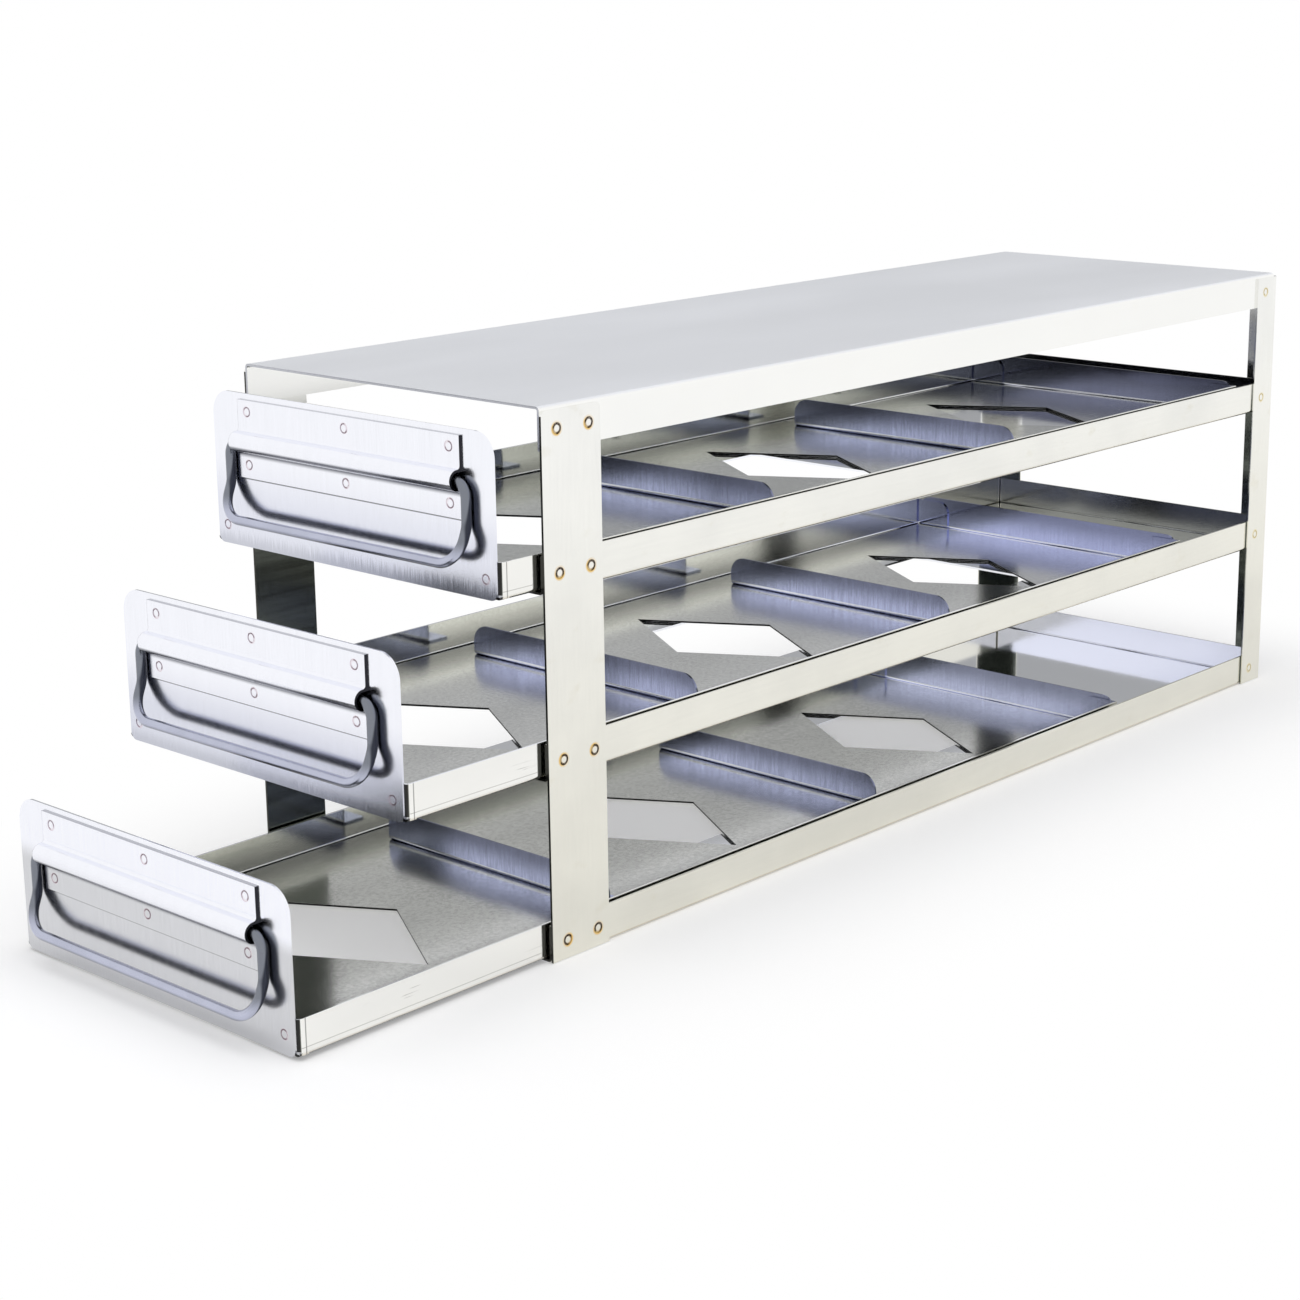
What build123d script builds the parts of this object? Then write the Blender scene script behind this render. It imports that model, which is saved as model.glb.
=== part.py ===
from build123d import *
import os
from math import hypot

os.makedirs("parts", exist_ok=True)

# Freezer drawer rack: a folded and spot-welded sheet steel rack with three box drawers.
# X is across the rack, Y runs from front to back, Z is up.
# The origin lies on the underside, in the middle of the rack's width and depth.

# Rack: outside sizes and sheet
rack_width = 140.0
rack_depth = 436.0
rack_height = 176.4
level_pitch = 59.3
sheet = 0.8
bend_inside = 0.6

# Top panel
panel_flange_height = 13.5
panel_rear_setback = 1.8

# Posts
post_front_width = 25.4
post_front_corner = 2.0
post_rear_side = 15.6
post_rear_leg = 12.0
post_top_drop = 1.3

# Shelves that the drawers run on
rail_height = 12.2
shelf_window_half_width = 30.0
crossbar_front = -4.0
crossbar_width = 20.0
rear_web_front = 100.0
shelf_corner_slit = 0.4

# Drawers
drawer_sheet = 0.7
drawer_side_clearance = 0.9
runner_clearance = 0.3
drawer_stop_clearance = 0.3
compartment_length = 141.3
drawer_side_height = 11.7
drawer_back_height = 13.2
drawer_back_corner = 6.0
drawer_back_side_gap = 0.5
front_tab_width = 13.0
front_tab_bend = 1.6
rear_tab_width = 17.0
rear_tab_corner = 5.0
tab_floor_gap = 0.4
cutout_half_length = 44.0
cutout_half_width = 26.0

# How far each drawer stands open
drawer_levels = ("bottom", "middle", "top")
drawer_open = {"bottom": 99.4, "middle": 55.3, "top": 15.3}

# Dividers
divider_half_width = 54.3
divider_height = 11.4
divider_corner = 6.5
divider_foot = 9.0
divider_bend = 0.9

# Front plates
plate_width = 132.4
plate_height = 51.1
plate_lift = 0.7
plate_top_corner = 8.0
plate_bottom_corner = 2.5

# Handle clip and bail
bail_wire = 3.2
bail_plate_gap = 0.3
bail_clip_clearance = 0.9
bail_pivot_height = 36.2
bail_half_width = 56.0
bail_top_bend = 5.0
bail_straight_leg = 13.7
bail_drop = 25.0
bail_kick_out = 4.5
bail_kink_bend = 8.0
bail_corner_bend = 8.5
bail_end_gap = 1.0
clip_half_width = 52.5
clip_sheet = 0.8
clip_top_edge = 49.8
clip_bottom_edge = 24.2
clip_crease = 1.0

# Spot welds: a shallow ring pressed around each nugget
weld_ring = 3.5
weld_nugget = 2.4
weld_depth = 0.1
post_weld_edges = (6.6, 20.3)
rear_weld_edge = 9.5
rear_leg_weld_edge = 7.0
rail_weld_height = 6.1
panel_weld_drop = 7.2
plate_weld_half_spacing = 61.6
plate_weld_height = 7.0
clip_weld_half_spacing = 47.8
clip_top_weld_height = 46.0
clip_bottom_weld_height = 28.6
divider_weld_half_spacing = 36.0

# Places that follow from the sizes above
rack_front = -rack_depth / 2
rack_rear = rack_depth / 2
bend_outside = bend_inside + sheet
post_height = rack_height - post_top_drop
post_inner_face = rack_width / 2 - sheet
rail_inner_face = post_inner_face - sheet
rear_leg_face = rack_rear - sheet
drawer_half_width = rail_inner_face - drawer_side_clearance
drawer_bend_outside = bend_inside + drawer_sheet
tray_lift = sheet + runner_clearance
compartment_pitch = compartment_length + drawer_sheet
divider_lines = (compartment_pitch, 2 * compartment_pitch)
back_line = 3 * compartment_pitch
bail_stand_off = bail_plate_gap + bail_wire / 2
knuckle_inside = bail_wire / 2 + bail_clip_clearance
knuckle_outside = knuckle_inside + clip_sheet


def level_height(level):
    return drawer_levels.index(level) * level_pitch


def plate_face(level):
    """Y of a drawer's front face, where the drawer stands as it is left open."""
    return rack_front - drawer_stop_clearance - drawer_sheet - drawer_open[level]


def add_channel(outer_width, height, gauge, bottom, start, end):
    """A floor with two upright sides, folded from one sheet, from start to end along Y."""
    with BuildSketch(Plane.XZ.offset(-start)) as section:
        with Locations((0, bottom + height / 2)):
            Rectangle(outer_width, height)
        fillet(section.vertices().group_by(Axis.Y)[0], bend_inside + gauge)
        with BuildSketch(mode=Mode.SUBTRACT) as hollow:
            with Locations((0, bottom + gauge + height / 2)):
                Rectangle(outer_width - 2 * gauge, height)
            fillet(hollow.vertices().group_by(Axis.Y)[0], bend_inside)
    extrude(section.sketch, amount=start - end)


def add_upstand(half_width, height, gauge, bottom, rear, corner):
    """A wall folded up from the floor's rear edge, with rounded top corners."""
    bend = bend_inside + gauge
    with BuildSketch(Plane.YZ.offset(-half_width)) as fold:
        with Locations((rear, bottom)):
            Rectangle(2 * bend, gauge, align=(Align.MAX, Align.MIN))
            Rectangle(gauge, 2 * bend, align=(Align.MAX, Align.MIN))
        fillet(fold.vertices().sort_by_distance((rear, bottom))[0], bend)
        fillet(fold.vertices().sort_by_distance((rear - gauge, bottom + gauge))[0], bend_inside)
    extrude(fold.sketch, amount=2 * half_width)
    with BuildSketch(Plane.XZ.offset(gauge - rear)) as wall:
        with Locations((0, bottom + height)):
            Rectangle(2 * half_width, height - bend, align=(Align.CENTER, Align.MAX))
        if corner > 0:
            fillet(wall.vertices().group_by(Axis.Y)[-1], corner)
    extrude(wall.sketch, amount=-gauge)


def press_weld_rings(face, centres):
    """Shallow rings in the face of a plane, one around each weld nugget."""
    with BuildSketch(face) as rings:
        with Locations(*centres):
            Circle(weld_ring / 2)
            Circle(weld_nugget / 2, mode=Mode.SUBTRACT)
    extrude(rings.sketch, amount=-weld_depth, mode=Mode.SUBTRACT)


# Faces that the weld rings are pressed into
right_face = Plane(origin=(rack_width / 2, 0, 0), x_dir=(0, 1, 0), z_dir=(1, 0, 0))
rear_face = Plane(origin=(0, rack_rear, 0), x_dir=(-1, 0, 0), z_dir=(0, 1, 0))
shelf_weld_heights = [level_height(level) + rail_weld_height for level in drawer_levels]
side_weld_heights = shelf_weld_heights + [rack_height - panel_weld_drop]

# Top panel: a flat sheet with both sides folded down inside the posts
with BuildPart() as top_panel:
    panel_depth = rack_depth - panel_rear_setback
    with BuildSketch(Plane.XZ.offset(-rack_front)) as panel_section:
        with Locations((0, rack_height - panel_flange_height / 2)):
            Rectangle(2 * post_inner_face, panel_flange_height)
        fillet(panel_section.vertices().group_by(Axis.Y)[-1], bend_outside)
        with BuildSketch(mode=Mode.SUBTRACT) as panel_hollow:
            with Locations((0, rack_height - sheet - panel_flange_height / 2)):
                Rectangle(2 * rail_inner_face, panel_flange_height)
            fillet(panel_hollow.vertices().group_by(Axis.Y)[-1], bend_inside)
    extrude(amount=-panel_depth)
top_panel.part.label = "top_panel"
export_step(top_panel.part, "parts/top_panel.step")

# Front posts: flat straps welded over the rails and the panel's flanges
with BuildPart() as post_front_right:
    with BuildSketch(right_face) as strap:
        with Locations((rack_front + post_front_width / 2, post_height / 2)):
            Rectangle(post_front_width, post_height)
        fillet(strap.vertices().group_by(Axis.Y)[-1], post_front_corner)
    extrude(amount=-sheet)
    press_weld_rings(right_face, [(rack_front + edge, height)
                                  for edge in post_weld_edges for height in side_weld_heights])
post_front_right.part.label = "post_front_right"
export_step(post_front_right.part, "parts/post_front_right.step")

with BuildPart() as post_front_left:
    mirror(post_front_right.part, about=Plane.YZ)
post_front_left.part.label = "post_front_left"
export_step(post_front_left.part, "parts/post_front_left.step")

# Rear posts: angles that wrap the rear corners
with BuildPart() as post_rear_right:
    with BuildSketch() as angle:
        with Locations((rack_width / 2, rack_rear)):
            Rectangle(sheet, post_rear_side, align=(Align.MAX, Align.MAX))
            Rectangle(post_rear_leg, sheet, align=(Align.MAX, Align.MAX))
        outer_corner = angle.vertices().sort_by_distance((rack_width / 2, rack_rear))[0]
        inner_corner = angle.vertices().sort_by_distance((post_inner_face, rear_leg_face))[0]
        fillet(outer_corner, bend_outside)
        fillet(inner_corner, bend_inside)
    extrude(amount=post_height)
    press_weld_rings(right_face, [(rack_rear - rear_weld_edge, height) for height in side_weld_heights])
    press_weld_rings(rear_face, [(rear_leg_weld_edge - rack_width / 2, height)
                                 for height in shelf_weld_heights])
post_rear_right.part.label = "post_rear_right"
export_step(post_rear_right.part, "parts/post_rear_right.step")

with BuildPart() as post_rear_left:
    mirror(post_rear_right.part, about=Plane.YZ)
post_rear_left.part.label = "post_rear_left"
export_step(post_rear_left.part, "parts/post_rear_left.step")

# Shelves: each is a floor with two rails and a rear wall, open at the front and in two windows
for level in drawer_levels:
    bottom = level_height(level)
    with BuildPart() as shelf:
        add_channel(2 * post_inner_face, rail_height, sheet, bottom, rack_front,
                    rear_leg_face - bend_outside)
        with BuildSketch(Plane.XY.offset(bottom)):
            front_window_depth = crossbar_front - rack_front
            with Locations((0, rack_front + front_window_depth / 2)):
                Rectangle(2 * shelf_window_half_width, front_window_depth)
            rear_window_front = crossbar_front + crossbar_width
            rear_window_depth = rear_web_front - rear_window_front
            with Locations((0, rear_window_front + rear_window_depth / 2)):
                Rectangle(2 * shelf_window_half_width, rear_window_depth)
        extrude(amount=sheet, mode=Mode.SUBTRACT)
        add_upstand(rail_inner_face - shelf_corner_slit, rail_height, sheet, bottom, rear_leg_face, 0)
    shelf.part.label = f"shelf_{level}"
    export_step(shelf.part, f"parts/shelf_{level}.step")

# Drawers, one on each shelf
for level in drawer_levels:
    face = plate_face(level)
    plate_back = face + drawer_sheet
    underside = level_height(level) + tray_lift
    floor_top = underside + drawer_sheet
    tray_rear = face + back_line + drawer_sheet
    side_top = underside + drawer_side_height

    # Tray: floor with three cut-outs, two sides, a back wall, and corner tabs folded inwards
    with BuildPart() as tray:
        add_channel(2 * drawer_half_width, drawer_side_height, drawer_sheet, underside,
                    plate_back, tray_rear - drawer_bend_outside)
        add_upstand(drawer_half_width - drawer_sheet - drawer_back_side_gap, drawer_back_height,
                    drawer_sheet, underside, tray_rear, drawer_back_corner)
        floor_starts = [plate_back] + [face + line + drawer_sheet + divider_foot for line in divider_lines]
        floor_ends = [face + line for line in divider_lines + (back_line,)]
        cutout_centres = [(0, (start + end) / 2) for start, end in zip(floor_starts, floor_ends)]
        with BuildSketch(Plane.XY.offset(underside)):
            with Locations(*cutout_centres):
                Polygon((cutout_half_length, 0), (0, cutout_half_width), (-cutout_half_length, 0),
                        (0, -cutout_half_width))
        extrude(amount=drawer_sheet, mode=Mode.SUBTRACT)
        tab_bottom = floor_top + tab_floor_gap
        with BuildSketch(Plane.XY.offset(tab_bottom)):
            with Locations((0, plate_back + front_tab_bend / 2)):
                Rectangle(2 * drawer_half_width, front_tab_bend)
        extrude(amount=drawer_side_height, mode=Mode.SUBTRACT)
        for side, outwards in ((-1, Align.MIN), (1, Align.MAX)):
            corner = (side * drawer_half_width, plate_back)
            crook_point = (side * (drawer_half_width - drawer_sheet), plate_back + drawer_sheet)
            with BuildSketch(Plane.XY.offset(tab_bottom)) as front_tab:
                with Locations(corner):
                    Rectangle(front_tab_width, drawer_sheet, align=(outwards, Align.MIN))
                    Rectangle(drawer_sheet, 2 * front_tab_bend, align=(outwards, Align.MIN))
                fillet(front_tab.vertices().sort_by_distance(corner)[0], front_tab_bend)
                fillet(front_tab.vertices().sort_by_distance(crook_point)[0], front_tab_bend - drawer_sheet)
            extrude(front_tab.sketch, amount=side_top - tab_bottom)
        with BuildSketch(Plane.XZ.offset(2 * drawer_sheet - tray_rear)) as rear_tabs:
            for side in (-1, 1):
                tab_centre = side * (drawer_half_width - rear_tab_width / 2)
                with Locations((tab_centre, (tab_bottom + side_top) / 2)):
                    Rectangle(rear_tab_width, side_top - tab_bottom)
            free_corners = rear_tabs.vertices().group_by(Axis.Y)[-1].sort_by(Axis.X)[1:3]
            fillet(free_corners, rear_tab_corner)
        extrude(amount=-drawer_sheet)
    tray.part.label = f"drawer_tray_{level}"
    export_step(tray.part, f"parts/drawer_tray_{level}.step")

    # Dividers: angles whose feet are welded to the tray's floor
    for place, line in zip(("front", "rear"), divider_lines):
        divider_face = face + line
        with BuildPart() as divider:
            with BuildSketch(Plane.YZ.offset(-divider_half_width)) as divider_section:
                with Locations((divider_face, floor_top)):
                    Rectangle(drawer_sheet, divider_height, align=(Align.MIN, Align.MIN))
                    Rectangle(drawer_sheet + divider_foot, drawer_sheet, align=(Align.MIN, Align.MIN))
                heel = divider_section.vertices().sort_by_distance((divider_face, floor_top))[0]
                crook = divider_section.vertices().sort_by_distance(
                    (divider_face + drawer_sheet, floor_top + drawer_sheet))[0]
                fillet(heel, divider_bend + drawer_sheet)
                fillet(crook, divider_bend)
            extrude(amount=2 * divider_half_width)
            top_corners = divider.edges().filter_by(Axis.Y).group_by(Axis.Z)[-1]
            fillet(top_corners, divider_corner)
            foot_top = Plane.XY.offset(floor_top + drawer_sheet)
            foot_middle = divider_face + drawer_sheet + divider_foot / 2 + divider_bend / 2
            press_weld_rings(foot_top, [(x, foot_middle)
                                        for x in (-divider_weld_half_spacing, 0, divider_weld_half_spacing)])
        divider.part.label = f"divider_{place}_{level}"
        export_step(divider.part, f"parts/divider_{place}_{level}.step")

    # Front plate: a flat sheet with rounded corners, welded to the tray's front tabs
    front_face = Plane.XZ.offset(-face)
    plate_bottom = level_height(level) + plate_lift
    with BuildPart() as front_plate:
        with BuildSketch(Plane.XZ.offset(-plate_back)) as plate_outline:
            with Locations((0, plate_bottom + plate_height / 2)):
                Rectangle(plate_width, plate_height)
            fillet(plate_outline.vertices().group_by(Axis.Y)[-1], plate_top_corner)
            fillet(plate_outline.vertices().group_by(Axis.Y)[0], plate_bottom_corner)
        extrude(amount=drawer_sheet)
        press_weld_rings(front_face, [(side * plate_weld_half_spacing, level_height(level) + plate_weld_height)
                                      for side in (-1, 1)])
    front_plate.part.label = f"front_plate_{level}"
    export_step(front_plate.part, f"parts/front_plate_{level}.step")

    # Handle clip: a strap with a half-round knuckle that holds the bail's wire to the plate
    pivot_height = level_height(level) + bail_pivot_height
    clip_top = level_height(level) + clip_top_edge
    clip_bottom = level_height(level) + clip_bottom_edge
    with BuildPart() as handle_clip:
        with BuildSketch(Plane.YZ.offset(-clip_half_width)) as clip_section:
            with Locations((face, clip_bottom)):
                Rectangle(clip_sheet, clip_top - clip_bottom, align=(Align.MAX, Align.MIN))
            with Locations((face, pivot_height)):
                Rectangle(bail_stand_off, 2 * knuckle_outside, align=(Align.MAX, Align.CENTER))
            with Locations((face - bail_stand_off, pivot_height)):
                Circle(knuckle_outside)
            creases = [clip_section.vertices().sort_by_distance(
                (face - clip_sheet, pivot_height + side * knuckle_outside))[0] for side in (-1, 1)]
            fillet(creases, clip_crease)
            with Locations((face, pivot_height)):
                Rectangle(bail_stand_off, 2 * knuckle_inside, align=(Align.MAX, Align.CENTER),
                          mode=Mode.SUBTRACT)
            with Locations((face - bail_stand_off, pivot_height)):
                Circle(knuckle_inside, mode=Mode.SUBTRACT)
            with Locations((face, pivot_height)):
                Rectangle(knuckle_outside, 2 * knuckle_outside, align=(Align.MIN, Align.CENTER),
                          mode=Mode.SUBTRACT)
        extrude(amount=2 * clip_half_width)
        clip_weld_places = [(x, level_height(level) + height)
                            for x in (-clip_weld_half_spacing, 0, clip_weld_half_spacing)
                            for height in (clip_top_weld_height, clip_bottom_weld_height)]
        press_weld_rings(Plane.XZ.offset(clip_sheet - face), clip_weld_places)
    handle_clip.part.label = f"handle_clip_{level}"
    export_step(handle_clip.part, f"parts/handle_clip_{level}.step")

    # Bail handle: one bent wire whose two ends meet inside the clip
    wire_line = face - bail_stand_off
    kink_height = pivot_height - bail_straight_leg
    bar_height = pivot_height - bail_drop
    with BuildPart() as bail:
        with BuildLine() as bail_route:
            FilletPolyline(
                (-bail_end_gap / 2, wire_line, pivot_height),
                (-bail_half_width, wire_line, pivot_height),
                (-bail_half_width, wire_line, kink_height),
                (-bail_half_width, wire_line - bail_kick_out, bar_height),
                (bail_half_width, wire_line - bail_kick_out, bar_height),
                (bail_half_width, wire_line, kink_height),
                (bail_half_width, wire_line, pivot_height),
                (bail_end_gap / 2, wire_line, pivot_height),
                radius=[bail_top_bend, bail_kink_bend, bail_corner_bend,
                        bail_corner_bend, bail_kink_bend, bail_top_bend],
            )
        with BuildSketch(Plane(origin=bail_route.line @ 0, z_dir=bail_route.line % 0)):
            Circle(bail_wire / 2)
        sweep()
    bail.part.label = f"bail_handle_{level}"
    export_step(bail.part, f"parts/bail_handle_{level}.step")

print("drawer inside width", round(2 * (drawer_half_width - drawer_sheet), 2))
print("bail reach", round(hypot(bail_drop, bail_kick_out) + bail_wire / 2, 2))
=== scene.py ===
from math import cos, radians, sin

import bpy
from mathutils import Matrix, Vector


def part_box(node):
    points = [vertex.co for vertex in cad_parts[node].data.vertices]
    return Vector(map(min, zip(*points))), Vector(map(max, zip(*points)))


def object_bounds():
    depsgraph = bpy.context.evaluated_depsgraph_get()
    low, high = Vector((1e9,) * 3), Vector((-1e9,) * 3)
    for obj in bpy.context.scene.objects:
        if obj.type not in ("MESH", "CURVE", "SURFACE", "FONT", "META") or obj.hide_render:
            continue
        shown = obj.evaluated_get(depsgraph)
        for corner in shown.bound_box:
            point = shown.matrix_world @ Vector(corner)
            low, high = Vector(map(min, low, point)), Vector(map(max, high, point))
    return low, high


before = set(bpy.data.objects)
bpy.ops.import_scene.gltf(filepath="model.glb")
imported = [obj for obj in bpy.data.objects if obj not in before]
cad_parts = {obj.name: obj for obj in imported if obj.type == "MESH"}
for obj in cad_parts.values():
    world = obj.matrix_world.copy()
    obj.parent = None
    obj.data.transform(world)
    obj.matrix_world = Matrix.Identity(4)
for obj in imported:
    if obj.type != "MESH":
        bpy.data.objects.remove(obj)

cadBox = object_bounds()
print("frame loaded:", len(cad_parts), "nodes")

mm = 0.001
levels = ("bottom", "middle", "top")
noiseSpan = (0.3, 0.7)

# Places that the finishes need, read from the frame
lowShelf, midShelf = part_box("shelf_bottom"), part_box("shelf_middle")
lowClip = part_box("handle_clip_bottom")
rack = {
    "front": lowShelf[0].y,
    "rear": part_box("post_rear_right")[1].y,
    "side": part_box("post_front_right")[1].x,
    "top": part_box("top_panel")[1].z,
    "pitch": midShelf[0].z - lowShelf[0].z,
}
clip = {
    "end": lowClip[1].x,
    "foot": lowClip[0].z - lowShelf[0].z,
    "head": lowClip[1].z - lowShelf[0].z,
}


# A wrapped socket whose operators add Math nodes
class Sock:
    def __init__(self, nodes, link):
        self.nodes = nodes
        self.link = link

    def maths(self, operation, *others):
        return self.nodes.node("ShaderNodeMath", {"operation": operation}, (self, *others))

    def __add__(self, other):
        return self.maths("ADD", other)

    def __sub__(self, other):
        return self.maths("SUBTRACT", other)

    def __rsub__(self, other):
        return self.nodes.node("ShaderNodeMath", {"operation": "SUBTRACT"}, (other, self))

    def __mul__(self, other):
        return self.maths("MULTIPLY", other)

    def __truediv__(self, other):
        return self.maths("DIVIDE", other)

    def __gt__(self, other):
        return self.maths("GREATER_THAN", other)

    def __lt__(self, other):
        return self.maths("LESS_THAN", other)

    def __abs__(self):
        return self.maths("ABSOLUTE")

    __radd__ = __add__
    __rmul__ = __mul__

    def larger(self, other):
        return self.maths("MAXIMUM", other)

    def cycle(self, low, high):
        return self.maths("WRAP", high, low)

    def step(self, start, end, low=0.0, high=1.0):
        return self.nodes.node("ShaderNodeMapRange", {"interpolation_type": "SMOOTHSTEP"},
                               (self, start, end, low, high))

    def tone(self, low, high):
        # Noise as a tone that goes from low to high
        return self.step(*noiseSpan, low, high)

    def spread(self, width):
        # Noise that wanders about zero
        return (self - 0.5) * width


# A node tree under construction, whose nodes all come from one method
class Nodes:
    def __init__(self, tree):
        self.tree = tree
        self.tree.nodes.clear()

    def node(self, kind, settings=None, values=(), output=0):
        made = self.tree.nodes.new(kind)
        for name, value in (settings or {}).items():
            setattr(made, name, value)
        for key, value in (values.items() if isinstance(values, dict) else enumerate(values)):
            if isinstance(value, Sock):
                self.tree.links.new(value.link, made.inputs[key])
            else:
                made.inputs[key].default_value = value
        return Sock(self, made.outputs[output] if made.outputs else None)

    def outputs(self, made, names):
        return [Sock(self, made.link.node.outputs[name]) for name in names]

    def mix(self, amount, first, second):
        return self.node("ShaderNodeMix", {"data_type": "RGBA"},
                         {0: amount, 6: first, 7: second}, output=2)

    def distance(self, across, up):
        offset = self.node("ShaderNodeCombineXYZ", values=(across, up, 0.0))
        return self.node("ShaderNodeVectorMath", {"operation": "LENGTH"}, (offset,), output="Value")


# A material with its place on the object
class Finish(Nodes):
    def __init__(self, name):
        self.material = bpy.data.materials.new(name)
        self.material.use_nodes = True
        super().__init__(self.material.node_tree)
        self.place = self.node("ShaderNodeTexCoord", output="Object")
        apart = self.node("ShaderNodeSeparateXYZ", values=(self.place,))
        self.x, self.y, self.z = self.outputs(apart, "XYZ")

    def noise(self, stretch, detail, shift=(0.0, 0.0, 0.0)):
        scaled = self.node("ShaderNodeVectorMath", {"operation": "MULTIPLY_ADD"},
                           (self.place, stretch, shift))
        return self.node("ShaderNodeTexNoise",
                         values={"Vector": scaled, "Scale": 1.0, "Detail": detail})

    def shade(self, colour, amount):
        # The colour times a number
        first = colour if isinstance(colour, Sock) else colour[:3]
        return self.node("ShaderNodeVectorMath", {"operation": "SCALE"},
                         {0: first, "Scale": amount})

    def bump(self, height, depth, strength):
        return self.node("ShaderNodeBump",
                         values={"Strength": strength, "Distance": depth, "Height": height})

    def surface(self, shader):
        self.node("ShaderNodeOutputMaterial", values={"Surface": shader})
        return self.material

    def metal(self, colour, roughness, normal):
        return self.surface(self.node("ShaderNodeBsdfPrincipled", values={
            "Base Color": colour, "Roughness": roughness, "Normal": normal, "Metallic": 1.0}))


def rgb(red, green, blue):
    return (red, green, blue, 1.0)


def overShelf(finish, level):
    # The height over the underside of a level's shelf
    return finish.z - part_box("shelf_" + level)[0].z


# Spot welds: a silver nugget in a dark ring that one side leaves open, with a straw heat tint
welds = {
    "post": {"inner": 1.08 * mm, "outer": 1.85 * mm, "ring": rgb(0.022, 0.008, 0.004),
             "tint": rgb(0.80, 0.50, 0.10), "tintEnd": 2.7 * mm, "tintAmount": 0.9, "open": 0.35},
    "rear": {"inner": 1.15 * mm, "outer": 1.75 * mm, "ring": rgb(0.62, 0.52, 0.28),
             "tint": rgb(0.80, 0.70, 0.42), "tintEnd": 2.6 * mm, "tintAmount": 0.7, "open": 0.1},
    "plate": {"inner": 1.27 * mm, "outer": 1.62 * mm, "ring": rgb(0.10, 0.03, 0.055),
              "tint": rgb(0.70, 0.56, 0.60), "tintEnd": 2.1 * mm, "tintAmount": 0.5, "open": 0.0},
}
weldShape = {
    "turnNoise": ((21.0, 23.0, 19.0), 0.0),
    "turn": 9.0,
    "least": 0.01 * mm,
    "crumbNoise": ((2600.0, 2600.0, 2600.0), 1.0),
    "crumbs": (0.35, 0.6),
    "crumbTone": (0.72, 1.0),
    "gap": (0.45, 0.95),
    "soft": 0.12 * mm,
    "heatStart": 0.6 * mm,
    "heatSide": (-0.9, 0.6, 0.35, 1.0),
}


def welded(finish, base, across, up, kit):
    # The ring opens, and the tint spreads, to a side that noise picks for each weld
    shape = weldShape
    radius = finish.distance(across, up)
    turn = finish.noise(*shape["turnNoise"]) * shape["turn"]
    toward = (across * turn.maths("COSINE") + up * turn.maths("SINE")) / (radius + shape["least"])
    crumbs = finish.noise(*shape["crumbNoise"]).step(*shape["crumbs"])
    closed = toward.step(*shape["gap"], 1.0, kit["open"]) \
        * crumbs.step(0.0, 1.0, *shape["crumbTone"])
    soft = shape["soft"]
    band = radius.step(kit["inner"] - soft, kit["inner"] + soft) \
        * radius.step(kit["outer"] - soft, kit["outer"] + soft, 1.0, 0.0)
    heat = radius.step(kit["outer"], kit["tintEnd"], kit["tintAmount"], 0.0) \
        * radius.step(shape["heatStart"], kit["outer"]) * toward.step(*shape["heatSide"])
    return finish.mix(band * closed, finish.mix(heat, base, kit["tint"]), kit["ring"])


# Rack: posts, shelves and top panel, with painted shade that makes them darker and warmer towards
# the ground
rackSteel = {
    "colour": rgb(0.93, 0.93, 0.905),
    "groundShadeColour": rgb(0.84, 0.825, 0.74),
    "groundShadeFade": (0.02, 0.19),
    "groundShadeSpread": 0.03,
    "cloudNoise": ((38.0, 24.0, 30.0), 3.0),
    "cloud": 0.93,
    "grainNoise": (3.0, (3.0, 1.0, 4.0)),
    "grain": 0.985,
    "uprightGrain": (900.0, 900.0, 60.0),
    "lengthGrain": (900.0, 40.0, 900.0),
    "stainNoise": ((130.0, 90.0, 130.0), 4.0, (7.0, 2.0, 1.0)),
    "stain": (0.60, 0.78, 0.0, 0.25),
    "stainColour": rgb(0.70, 0.66, 0.52),
    "roughness": 0.16,
    "cloudRoughness": 0.10,
    "grainRoughness": 0.06,
    "bump": (0.002 * mm, 0.4),
    "edge": 0.05 * mm,
    "edgeShadeColour": rgb(0.05, 0.05, 0.045),
    "railWeld": 6.1 * mm,
    "panelWeld": 7.2 * mm,
}
postSteel = {
    "frontWelds": (6.6 * mm, 20.3 * mm),
    "rearWelds": (-9.5 * mm,),
    "inside": 0.4 * mm,
    "insideShadeColour": rgb(0.11, 0.12, 0.105),
    "insideShadeFade": (118.0 * mm, 150.0 * mm),
    "bandNoise": ((20.0, 20.0, 420.0), 2.0, (1.0, 1.0, 6.0)),
    "bands": (0.35, 0.65, 0.75, 1.25),
}
shelfSteel = {
    "floorTop": 0.9 * mm,
    "floorColour": rgb(0.93, 0.94, 0.98),
    "floorRoughness": 0.08,
    "rail": 2.2 * mm,
    "bend": (0.2 * mm, 1.3 * mm, 0.75, 0.0),
    "bendColour": rgb(0.56, 0.48, 0.30),
    "wall": (1.8 * mm, 0.9 * mm),
    "wallShadeColour": {
        "bottom": rgb(0.80, 0.82, 0.93),
        "middle": rgb(0.27, 0.275, 0.25),
        "top": rgb(0.30, 0.305, 0.31),
    },
}
panelSteel = {
    "colour": rgb(0.865, 0.88, 0.92),
    "roughness": 0.46,
    "top": (rack["top"] - 0.9 * mm, rack["top"] - 0.1 * mm),
    "flangeLitColour": rgb(0.96, 0.96, 0.94),
    "flangeLitShare": 0.75,
    "flangeRoughness": 0.16,
    "rolledNoise": ((14.0, 5.0, 10.0), 3.0, (2.0, 6.0, 1.0)),
    "rolled": (0.95, 1.0),
    "rolledRoughness": 0.1,
    "edgeShadeColour": rgb(0.50, 0.51, 0.55),
}


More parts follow.
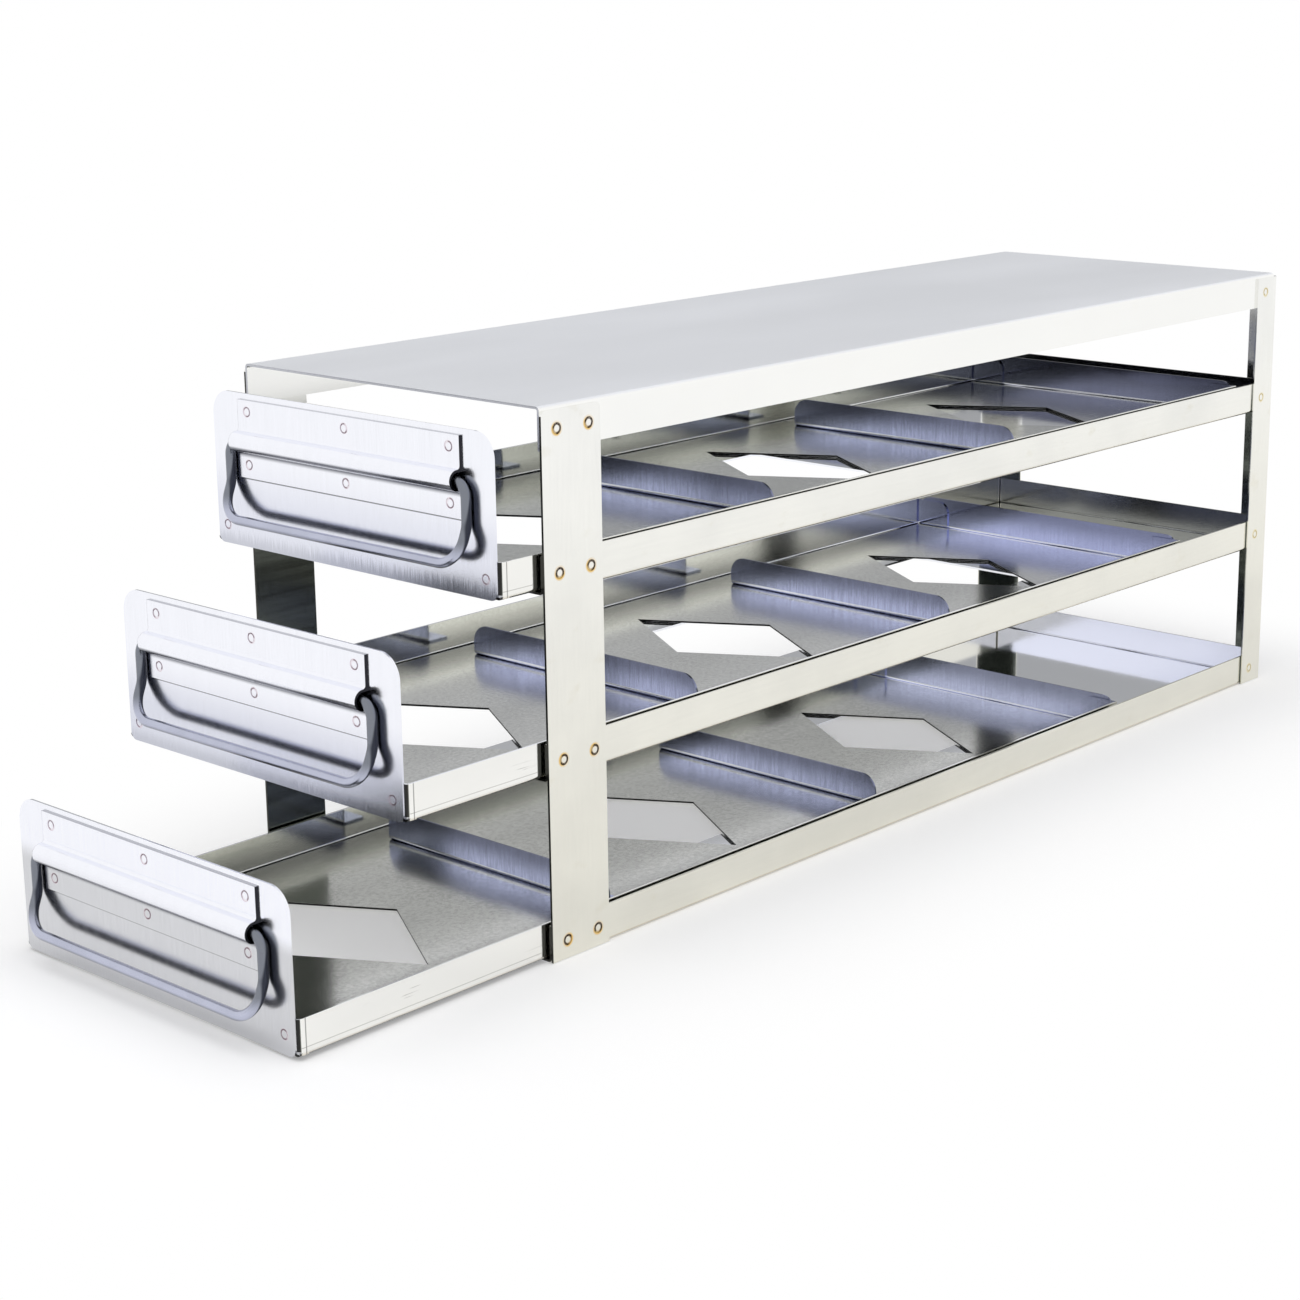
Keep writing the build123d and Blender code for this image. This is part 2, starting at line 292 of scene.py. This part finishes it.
def weldHeight(finish):
    # The distance up from the nearest weld: one row on each shelf's rail and one on the panel,
    # which takes over a quarter of the pitch below it
    highest = rack["top"] - rackSteel["panelWeld"]
    split = highest - rack["pitch"] / 4
    above = finish.z > split
    fromRail = (finish.z - rackSteel["railWeld"]).cycle(-rack["pitch"] / 2, rack["pitch"] / 2)
    return fromRail * (1.0 - above) + (finish.z - highest) * above


def rackBase(finish, grainStretch):
    # Faint clouds, rolled grain and a few stains
    kit = rackSteel
    cloud = finish.noise(*kit["cloudNoise"])
    grain = finish.noise(grainStretch, *kit["grainNoise"])
    stain = finish.noise(*kit["stainNoise"])
    # Painted shade: the colour turns darker and warmer towards the ground
    high = (finish.z + cloud.spread(kit["groundShadeSpread"])).step(*kit["groundShadeFade"])
    colour = finish.mix(high, kit["groundShadeColour"], kit["colour"])
    colour = finish.shade(colour, cloud.tone(1.0, kit["cloud"]) * grain.tone(1.0, kit["grain"]))
    colour = finish.mix(stain.step(*kit["stain"]), colour, kit["stainColour"])
    roughness = kit["roughness"] + cloud.spread(kit["cloudRoughness"]) \
        + grain.spread(kit["grainRoughness"])
    return colour, roughness, finish.bump(grain, *kit["bump"])


def shadeFrontEdges(finish, colour, edgeShadeColour=rackSteel["edgeShadeColour"]):
    # Painted shade: cut edges that face the front are made dark
    return finish.mix(finish.y < rack["front"] + rackSteel["edge"], colour, edgeShadeColour)


def postFinish(name, columns, datum, kit):
    finish = Finish(name)
    colour, roughness, normal = rackBase(finish, rackSteel["uprightGrain"])
    places = [datum + column for column in columns]
    across = finish.y - places[0]
    if len(places) > 1:
        second = finish.y > sum(places) / 2
        across = across - second * (places[1] - places[0])
    colour = welded(finish, colour, across, weldHeight(finish), kit)
    # Painted shade: the inner faces are darker up to the top drawer, broken by faint horizontal
    # bands
    inside = postSteel["inside"]
    within = (abs(finish.x) < rack["side"] - inside) * (finish.y < rack["rear"] - inside)
    bands = finish.noise(*postSteel["bandNoise"])
    dark = finish.shade(postSteel["insideShadeColour"], bands.step(*postSteel["bands"]))
    below = finish.z.step(*postSteel["insideShadeFade"], 1.0, 0.0)
    colour = finish.mix(within * below, colour, dark)
    return finish.metal(shadeFrontEdges(finish, colour), roughness, normal)


def shelfFinish(level):
    # Glossier and cooler on the floor than on the rails; the inside of the rear wall is tinted and
    # carries painted shade set per level
    finish = Finish("shelfSteel_" + level)
    kit = shelfSteel
    colour, roughness, normal = rackBase(finish, rackSteel["lengthGrain"])
    up = overShelf(finish, level)
    rail = abs(finish.x) > rack["side"] - kit["rail"]
    colour = finish.mix(rail * up.step(*kit["bend"]), colour, kit["bendColour"])
    floor = (up < kit["floorTop"]) * (1.0 - rail)
    colour = finish.mix(floor, colour, kit["floorColour"])
    near, far = kit["wall"]
    wall = (finish.y > rack["rear"] - near) * (finish.y < rack["rear"] - far) * (1.0 - floor)
    # Painted shade inside the rear wall, darker on the middle and top levels
    colour = finish.mix(wall * (1.0 - rail), colour, kit["wallShadeColour"][level])
    roughness = roughness + floor * (kit["floorRoughness"] - rackSteel["roughness"])
    return finish.metal(shadeFrontEdges(finish, colour), roughness, normal)


def panelFinish():
    finish = Finish("panelSteel")
    kit = panelSteel
    colour, roughness, normal = rackBase(finish, rackSteel["lengthGrain"])
    rolled = finish.noise(*kit["rolledNoise"])
    # Painted light: the flanges are paler than the flat top, which is also rougher
    onTop = finish.z.step(*kit["top"])
    flat = finish.shade(kit["colour"], rolled.tone(*kit["rolled"]))
    flange = finish.mix(kit["flangeLitShare"], colour, kit["flangeLitColour"])
    colour = finish.mix(onTop, flange, flat)
    roughness = kit["flangeRoughness"] + onTop * (kit["roughness"] - kit["flangeRoughness"]) \
        + rolled.spread(kit["rolledRoughness"])
    return finish.metal(shadeFrontEdges(finish, colour, kit["edgeShadeColour"]), roughness, normal)


# Front plates and handle clips, brushed from top to bottom, with painted shade towards the foot
# that differs by level
plateSteel = {
    "colour": rgb(0.935, 0.945, 1.0),
    "streak": 0.97,
    "roughness": 0.18,
    "shadeWander": 5.0 * mm,
    "footWander": 10.0 * mm,
    "shade": {
        "bottom": (31.0 * mm, 38.0 * mm),
        "middle": (14.0 * mm, 32.0 * mm),
        "top": (14.0 * mm, 32.0 * mm),
    },
    "shadeColour": {
        "bottom": rgb(0.67, 0.675, 0.695),
        "middle": rgb(0.74, 0.755, 0.84),
        "top": rgb(0.81, 0.825, 0.91),
    },
    "shadeStreak": 0.93,
    "foot": (1.0 * mm, 6.5 * mm, 1.0, 0.0),
    "footSide": (-0.04, 0.06, 0.35, 0.85),
    "footShadeColour": {
        "bottom": rgb(0.59, 0.595, 0.615),
        "middle": rgb(0.24, 0.25, 0.29),
        "top": rgb(0.20, 0.21, 0.25),
    },
    "edgeShadeColour": rgb(0.03, 0.03, 0.035),
    "weldAcross": 61.6 * mm,
    "weldUp": 7.0 * mm,
    "lineDrop": 0.40 * mm,
    "line": (0.20 * mm, 0.36 * mm, 0.7, 0.0),
}
clipSteel = {
    "weldAcross": 47.8 * mm,
    "weldUp": (28.6 * mm, 46.0 * mm),
    "edge": 0.05 * mm,
    "headShade": 0.5,
    "proud": 0.9 * mm,
    "knuckleShade": (34.2 * mm, 35.3 * mm, 1.0, 0.0),
    "knuckleFoot": (33.3 * mm, 33.6 * mm, 0.15, 1.0),
    "crease": (30.7 * mm, 32.4 * mm),
    "creaseShade": 0.9,
    "creaseShadeColour": rgb(0.07, 0.075, 0.10),
}
brushing = {
    "fineNoise": ((4200.0, 4200.0, 110.0), 3.0),
    "fineRoughness": 0.08,
    "broadNoise": ((420.0, 420.0, 22.0), 2.0, (5.0, 2.0, 8.0)),
    "broadSpan": (0.3, 0.75),
    "broadRoughness": 0.06,
    "bump": (0.006 * mm, 0.5),
}


def brushedBase(finish, kit):
    fine = finish.noise(*brushing["fineNoise"])
    broad = finish.noise(*brushing["broadNoise"])
    dark = (1.0 + kit["streak"]) / 2
    tone = fine.tone(1.0, kit["streak"]) * broad.step(*brushing["broadSpan"], 1.0, dark)
    roughness = kit["roughness"] + fine.spread(brushing["fineRoughness"]) \
        + broad.spread(brushing["broadRoughness"])
    return finish.shade(kit["colour"], tone), roughness, finish.bump(fine, *brushing["bump"]), fine


def plateBase(finish, level):
    kit = plateSteel
    colour, roughness, normal, streaks = brushedBase(finish, kit)
    up = overShelf(finish, level)
    # Painted shade: greyer below the knuckle, and dark along the foot, more so towards the right
    lowerShade = finish.shade(kit["shadeColour"][level], streaks.tone(1.0, kit["shadeStreak"]))
    shade = (up + streaks.spread(kit["shadeWander"])).step(*kit["shade"][level], 1.0, 0.0)
    colour = finish.mix(shade, colour, lowerShade)
    foot = (up + streaks.spread(kit["footWander"])).step(*kit["foot"])
    foot = foot * finish.x.step(*kit["footSide"])
    return up, finish.mix(foot, colour, kit["footShadeColour"][level]), roughness, normal


def plateFinish(level):
    finish = Finish("plateSteel_" + level)
    kit = plateSteel
    up, colour, roughness, normal = plateBase(finish, level)
    # Painted shadow: a dark line along the clip's foot
    line = abs(up - (clip["foot"] - kit["lineDrop"])).step(*kit["line"])
    colour = finish.mix(line * (abs(finish.x) < clip["end"]), colour, kit["edgeShadeColour"])
    across = abs(finish.x) - kit["weldAcross"]
    colour = welded(finish, colour, across, up - kit["weldUp"], welds["plate"])
    return finish.metal(colour, roughness, normal)


def clipFinish(level):
    finish = Finish("clipSteel_" + level)
    kit = clipSteel
    up, colour, roughness, normal = plateBase(finish, level)
    across = finish.x.cycle(-kit["weldAcross"] / 2, kit["weldAcross"] / 2)
    low, high = kit["weldUp"]
    above = up > (low + high) / 2
    colour = welded(finish, colour, across, up - low - above * (high - low), welds["plate"])
    # Painted shade under the knuckle and in the crease at its foot, and painted shade on the top
    # edge and the cut ends
    proud = finish.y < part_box("front_plate_" + level)[0].y - kit["proud"]
    under = up.step(*kit["knuckleShade"]) * up.step(*kit["knuckleFoot"]) * proud
    crease = up.step(*kit["crease"]) * (up < kit["knuckleFoot"][0]) * (1.0 - proud)
    colour = finish.mix((under + crease) * kit["creaseShade"], colour, kit["creaseShadeColour"])
    head = (up > clip["head"] - kit["edge"]) * kit["headShade"]
    colour = finish.mix(head, colour, plateSteel["edgeShadeColour"])
    end = abs(finish.x) > clip["end"] - kit["edge"]
    colour = finish.mix(end, colour, plateSteel["edgeShadeColour"])
    return finish.metal(colour, roughness, normal)


# Drawer trays: half bright sheet, cooler and brushed on the back wall, with painted light and shade
# set per level
traySteel = {
    "cloudNoise": ((50.0, 16.0, 50.0), 3.0),
    "cloud": 0.9,
    "cloudRoughness": 0.08,
    "grainNoise": ((2400.0, 1100.0, 2400.0), 2.0),
    "grain": 0.93,
    "grainRoughness": 0.06,
    "bump": (0.003 * mm, 0.5),
    "speckNoise": ((900.0, 700.0, 900.0), 2.0, (4.0, 9.0, 2.0)),
    "speckSpan": (0.35, 0.7),
    "speck": 0.95,
    "colour": {
        "bottom": rgb(0.64, 0.65, 0.58),
        "middle": rgb(0.74, 0.745, 0.67),
        "top": rgb(0.54, 0.55, 0.49),
    },
    "frontShade": (4.0 * mm, 75.0 * mm, 0.45, 1.0),
    "paintedFootLight": (3.0 * mm, 8.5 * mm, 1.33, 1.0),
    "floorTop": 0.8 * mm,
    "floorColour": {
        "bottom": rgb(0.84, 0.84, 0.80),
        "middle": rgb(0.98, 0.98, 0.96),
        "top": rgb(0.88, 0.89, 0.87),
    },
    "floorSpeck": 0.88,
    "floorShade": (36.0 * mm, 63.0 * mm, 1.05, 0.09),
    "roughness": 0.17,
    "wallRoughness": 0.10,
    "wallShadeColour": {
        "bottom": rgb(0.40, 0.43, 0.60),
        "middle": rgb(0.33, 0.36, 0.57),
        "top": rgb(0.14, 0.15, 0.22),
    },
    "wall": 2.2 * mm,
    "wallNoise": ((2400.0, 2400.0, 70.0), 3.0, (2.0, 7.0, 6.0)),
    "wallBrush": (1.05, 0.9),
    "wallShadeFade": (1.5 * mm, 12.5 * mm, 1.3, 0.62),
    "line": (0.8 * mm, 1.5 * mm),
    "lineHighlight": 0.6,
    "highlightColour": rgb(0.88, 0.89, 0.92),
    "rim": 11.6 * mm,
    "rimHighlight": 0.8,
    "cutFace": (0.03 * mm, 0.67 * mm),
    "cutInset": 2.5 * mm,
    "cutRoughness": 0.4,
    "edgeShadeColour": rgb(0.02, 0.02, 0.02),
    "corner": 2.0 * mm,
    "cornerGap": (0.45 * mm, 0.85 * mm, 0.95, 0.0),
    "cornerBend": 2.4 * mm,
    "cornerLine": (0.10 * mm, 0.30 * mm, 0.6, 0.0),
}
sideSteel = {
    "depth": 0.25 * mm,
    "colour": rgb(0.92, 0.915, 0.88),
    "cloud": 0.95,
    "wanderNoise": ((9.0, 9.0, 9.0), 1.0),
    "wander": 0.6 * mm,
    "scribeUp": 2.6 * mm,
    "scribe": (0.08 * mm, 0.22 * mm, 0.45, 0.0),
    "scuffNoise": ((900.0, 60.0, 1700.0), 2.0, (1.0, 3.0, 5.0)),
    "scuff": (0.66, 0.72, 0.0, 0.5),
    "patchNoise": ((30.0, 30.0, 30.0), 1.0, (8.0, 1.0, 3.0)),
    "patch": (0.5, 0.62),
    "markColour": rgb(0.30, 0.29, 0.26),
    "bend": (0.2 * mm, 1.6 * mm, 0.55, 0.0),
    "bendColour": rgb(0.52, 0.45, 0.30),
}


def traySide(finish, colour, outside, up, cloud):
    # Outside of the sides: pale, with a scribed line over the bend and a few scratches
    kit = sideSteel
    pale = finish.shade(kit["colour"], cloud.tone(1.0, kit["cloud"]))
    wander = finish.noise(*kit["wanderNoise"]).spread(kit["wander"])
    scribe = abs(up - kit["scribeUp"] + wander).step(*kit["scribe"])
    scuff = finish.noise(*kit["scuffNoise"]).step(*kit["scuff"]) \
        * finish.noise(*kit["patchNoise"]).step(*kit["patch"])
    colour = finish.mix(outside, colour, pale)
    colour = finish.mix(outside * scribe.larger(scuff), colour, kit["markColour"])
    return finish.mix(outside * up.step(*kit["bend"]), colour, kit["bendColour"])


def trayFinish(level):
    finish = Finish("traySteel_" + level)
    kit = traySteel
    low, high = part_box("drawer_tray_" + level)
    cloud = finish.noise(*kit["cloudNoise"])
    grain = finish.noise(*kit["grainNoise"])
    speck = finish.noise(*kit["speckNoise"])
    up = finish.z - low.z
    along = finish.y - low.y
    aside = abs(finish.x)
    # Painted reflection and shade: the floor darkens towards the sides, which it mirrors, and the
    # sides darken towards the front and are painted lighter near the foot
    floor = up < kit["floorTop"]
    flat = finish.shade(kit["floorColour"][level],
                        speck.step(*kit["speckSpan"], 1.0, kit["floorSpeck"])
                        * aside.step(*kit["floorShade"]))
    upright = finish.shade(kit["colour"][level],
                           along.step(*kit["frontShade"]) * up.step(*kit["paintedFootLight"]))
    tone = cloud.tone(1.0, kit["cloud"]) * grain.tone(1.0, kit["grain"]) \
        * speck.step(*kit["speckSpan"], 1.0, kit["speck"])
    colour = finish.shade(finish.mix(floor, upright, flat), tone)
    outside = aside > high.x - sideSteel["depth"]
    colour = traySide(finish, colour, outside, up, cloud)
    # Painted shade: the front corner is dark behind the plate and along its bend
    corner = along.step(*kit["cornerGap"]) + abs(along - kit["cornerBend"]).step(*kit["cornerLine"])
    colour = finish.mix(corner * (aside > high.x - kit["corner"]), colour, kit["edgeShadeColour"])
    # Back wall, cool and with painted shade that darkens it towards the top, and a painted
    # highlight along the bend at its foot
    wall = finish.y > high.y - kit["wall"]
    brush = finish.noise(*kit["wallNoise"]).tone(*kit["wallBrush"])
    shadedWall = finish.shade(kit["wallShadeColour"][level], brush * up.step(*kit["wallShadeFade"]))
    colour = finish.mix(wall * (1.0 - outside), colour, shadedWall)
    foot, head = kit["line"]
    line = (up > foot) * (up < head) * (1.0 - outside)
    colour = finish.mix(line * kit["lineHighlight"], colour, kit["highlightColour"])
    # Painted highlight along the top edges of the sides
    rim = (up > kit["rim"]) * (1.0 - wall)
    colour = finish.mix(rim * kit["rimHighlight"], colour, kit["highlightColour"])
    # Painted shade on the cut edges of the floor
    under, over = kit["cutFace"]
    cut = (up > under) * (up < over) * (aside < high.x - kit["cutInset"])
    colour = finish.mix(cut, colour, kit["edgeShadeColour"])
    roughness = kit["wallRoughness"] + floor * (kit["roughness"] - kit["wallRoughness"]) \
        + cloud.spread(kit["cloudRoughness"]) + grain.spread(kit["grainRoughness"]) \
        + cut * kit["cutRoughness"]
    return finish.metal(colour, roughness, finish.bump(grain, *kit["bump"]))


# Dividers: cool sheet, brushed upright, with painted shade that darkens them towards the top and a
# painted highlight along the bend
dividerSteel = {
    "colour": rgb(0.42, 0.455, 0.66),
    "streak": 0.90,
    "brushNoise": ((1900.0, 1900.0, 150.0), 3.0, (6.0, 4.0, 1.0)),
    "brush": (0.40, 0.62, 1.04, 0.88),
    "heightShade": (1.5 * mm, 11.0 * mm, 1.2, 0.48),
    "line": (0.9 * mm, 1.7 * mm),
    "lineHighlight": 0.7,
    "highlightColour": rgb(0.86, 0.87, 0.90),
    "roughness": 0.2,
}


def dividerFinish(level):
    finish = Finish("dividerSteel_" + level)
    kit = dividerSteel
    colour, roughness, normal = brushedBase(finish, kit)[:3]
    up = finish.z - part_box("divider_front_" + level)[0].z
    brush = finish.noise(*kit["brushNoise"])
    colour = finish.shade(colour, up.step(*kit["heightShade"]) * brush.step(*kit["brush"]))
    foot, head = kit["line"]
    line = (up > foot) * (up < head) * kit["lineHighlight"]
    return finish.metal(finish.mix(line, colour, kit["highlightColour"]), roughness, normal)


# Bail wire: grey, with the bar painted paler as a painted highlight
wireSteel = {
    "colour": rgb(0.22, 0.235, 0.27),
    "drawnNoise": ((90.0, 90.0, 90.0), 2.0),
    "drawn": 0.93,
    "drawnRoughness": 0.06,
    "bump": (0.002 * mm, 0.3),
    "barHighlightColour": rgb(0.52, 0.54, 0.66),
    "bar": (12.8 * mm, 19.0 * mm),
    "backShadeColour": rgb(0.04, 0.044, 0.06),
    "behind": (0.5 * mm, 1.2 * mm),
    "underBar": (9.9 * mm, 11.4 * mm, 0.7, 0.0),
    "pivot": (-1.9 * mm, 36.2 * mm),
    "lean": 4.5 / 25.0,     # how far the arms kick out, over their drop
    "roughness": 0.24,
}


def wireFinish(level):
    finish = Finish("wireSteel_" + level)
    kit = wireSteel
    drawn = finish.noise(*kit["drawnNoise"])
    up = overShelf(finish, level)
    colour = finish.mix(up.step(*kit["bar"]), kit["barHighlightColour"], kit["colour"])
    colour = finish.shade(colour, drawn.tone(1.0, kit["drawn"]))
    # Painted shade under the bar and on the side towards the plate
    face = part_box("front_plate_" + level)[0].y
    out, pivotUp = kit["pivot"]
    behind = finish.y - (face + out) + (pivotUp - up) * kit["lean"]
    colour = finish.mix(behind.step(*kit["behind"]), colour, kit["backShadeColour"])
    colour = finish.mix(up.step(*kit["underBar"]), colour, kit["backShadeColour"])
    roughness = kit["roughness"] + drawn.spread(kit["drawnRoughness"])
    return finish.metal(colour, roughness, finish.bump(drawn, *kit["bump"]))


def dress(node, material):
    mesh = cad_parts[node].data
    mesh.materials.clear()
    mesh.materials.append(material)


frontPost = postFinish("frontPostSteel", postSteel["frontWelds"], rack["front"], welds["post"])
rearPost = postFinish("rearPostSteel", postSteel["rearWelds"], rack["rear"], welds["rear"])
for side in ("left", "right"):
    dress("post_front_" + side, frontPost)
    dress("post_rear_" + side, rearPost)
dress("top_panel", panelFinish())
for level in levels:
    dividerSheet = dividerFinish(level)
    dress("shelf_" + level, shelfFinish(level))
    dress("drawer_tray_" + level, trayFinish(level))
    dress("divider_front_" + level, dividerSheet)
    dress("divider_rear_" + level, dividerSheet)
    dress("front_plate_" + level, plateFinish(level))
    dress("handle_clip_" + level, clipFinish(level))
    dress("bail_handle_" + level, wireFinish(level))
print("finishes on", len(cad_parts), "nodes")


# Camera, fitted to the rack's corners
camera = {
    "place": (0.604404, -0.743592, 0.302284),
    "azimuth": 41.8894,
    "elevation": 13.9064,
    "roll": -0.4945,
    "lens": 70.55,
    "sensor": 36,
    "shift": (-50 / 1300, -50 / 1300),     # pixels over the photograph's width
    "reach": (0.01, 100),
}


def addCamera():
    azimuth, elevation, roll = (radians(camera[name]) for name in ("azimuth", "elevation", "roll"))
    back = Vector((sin(azimuth) * cos(elevation), -cos(azimuth) * cos(elevation), sin(elevation)))
    flat = Vector((cos(azimuth), sin(azimuth), 0))
    rise = back.cross(flat)
    right = flat * cos(roll) + rise * sin(roll)
    up = rise * cos(roll) - flat * sin(roll)
    data = bpy.data.cameras.new("photoCamera")
    data.lens = camera["lens"]
    data.sensor_width = camera["sensor"]
    data.shift_x, data.shift_y = camera["shift"]
    data.clip_start, data.clip_end = camera["reach"]
    made = bpy.data.objects.new("photoCamera", data)
    turned = Matrix((right, up, back)).transposed().to_4x4()
    made.matrix_world = Matrix.Translation(camera["place"]) @ turned
    bpy.context.scene.collection.objects.link(made)
    bpy.context.scene.camera = made


# Floor, world and lamps, and a grey card that shows only in the steel
studio = {
    "floorHalf": 6.0,
    "floorDrop": 0.2 * mm,
    "floorColour": rgb(0.86, 0.86, 0.87),
    "floorLift": rgb(0.25, 0.25, 0.25),
    "whiteSeen": (0.0, 0.11),
    "whiteMirrored": (-0.08, 0.40),
    "white": rgb(1.0, 1.0, 1.0),
    "black": rgb(0.0, 0.0, 0.0),
    "worldDiffuse": rgb(0.35, 0.35, 0.35),
    "aimedAt": (0.0, -0.05, 0.08),
}
lamps = {
    "overhead": {"place": (0.2, -0.2, 1.9), "size": (2.2, 2.2), "power": 20.0},
    "rightCard": {"place": (1.9, -0.6, 0.9), "size": (1.6, 1.4), "power": 8.0},
    "leftCard": {"place": (-1.5, -1.6, 0.9), "size": (1.6, 1.4), "power": 9.0},
}
greyCard = {
    "place": (-1.1, 1.0, 0.42),
    "size": (2.6, 0.8),
    "low": rgb(0.30, 0.305, 0.31),
    "high": rgb(0.46, 0.465, 0.47),
}


def seenPaths(nodes):
    # One for the camera, and one for what metal and glass show
    path = nodes.node("ShaderNodeLightPath")
    names = ("Is Camera Ray", "Is Glossy Ray", "Is Transmission Ray")
    seen, glossy, through = nodes.outputs(path, names)
    return seen, glossy.larger(through)


def addFloor():
    bpy.ops.mesh.primitive_plane_add(size=2 * studio["floorHalf"],
                                     location=(0, 0, -studio["floorDrop"]))
    floor = bpy.context.object
    floor.name = "studioFloor"
    finish = Finish("floorPaper")
    seen, mirrored = seenPaths(finish)
    matt = finish.node("ShaderNodeBsdfDiffuse", values={"Color": studio["floorColour"]})
    lift = finish.mix(seen + mirrored, studio["black"], studio["floorLift"])
    glow = finish.node("ShaderNodeEmission", values={"Color": lift})
    near = finish.node("ShaderNodeAddShader", values=(matt, glow))
    white = finish.node("ShaderNodeEmission", values={"Color": studio["white"]})
    # White away from the rack, with its shadow kept near it
    low, high = cadBox
    sides = [abs(finish.x) - high.x,
             abs(finish.y - (low.y + high.y) / 2) - (high.y - low.y) / 2]
    away = finish.distance(*(side.larger(0.0) for side in sides))
    far = away.step(*studio["whiteSeen"]) * seen + away.step(*studio["whiteMirrored"]) * mirrored
    paper = finish.surface(finish.node("ShaderNodeMixShader", values=(far, near, white)))
    floor.data.materials.append(paper)


def addWorld():
    world = bpy.data.worlds.new("studioWorld")
    bpy.context.scene.world = world
    world.use_nodes = True
    sky = Nodes(world.node_tree)
    seen, mirrored = seenPaths(sky)
    light = sky.mix(seen + mirrored, studio["worldDiffuse"], studio["white"])
    backdrop = sky.node("ShaderNodeBackground", values={"Color": light})
    sky.node("ShaderNodeOutputWorld", values={"Surface": backdrop})


def aim(thing, place):
    away = Vector(place) - Vector(studio["aimedAt"])
    turned = away.to_track_quat("Z", "Y").to_matrix().to_4x4()
    thing.matrix_world = Matrix.Translation(place) @ turned


def addLamps():
    for name, kit in lamps.items():
        data = bpy.data.lights.new(name, "AREA")
        data.shape = "RECTANGLE"
        data.size, data.size_y = kit["size"]
        data.energy = kit["power"]
        lamp = bpy.data.objects.new(name, data)
        lamp.visible_camera = False
        lamp.visible_glossy = False
        bpy.context.scene.collection.objects.link(lamp)
        aim(lamp, kit["place"])


def addGreyCard():
    kit = greyCard
    width, height = kit["size"]
    finish = Finish("greyCardCloth")
    tone = finish.mix(finish.y.step(-height / 2, height / 2), kit["low"], kit["high"])
    cloth = finish.surface(finish.node("ShaderNodeEmission", values={"Color": tone}))
    bpy.ops.mesh.primitive_plane_add(size=1)
    card = bpy.context.object
    card.name = "greyCard"
    card.scale = (width, height, 1)
    bpy.ops.object.transform_apply(location=False, rotation=False, scale=True)
    aim(card, kit["place"])
    card.data.materials.append(cloth)
    card.visible_camera = False
    card.visible_diffuse = False
    card.visible_shadow = False


addCamera()
addFloor()
addWorld()
addLamps()
addGreyCard()
bpy.context.scene.view_settings.view_transform = "Standard"
print("studio set")
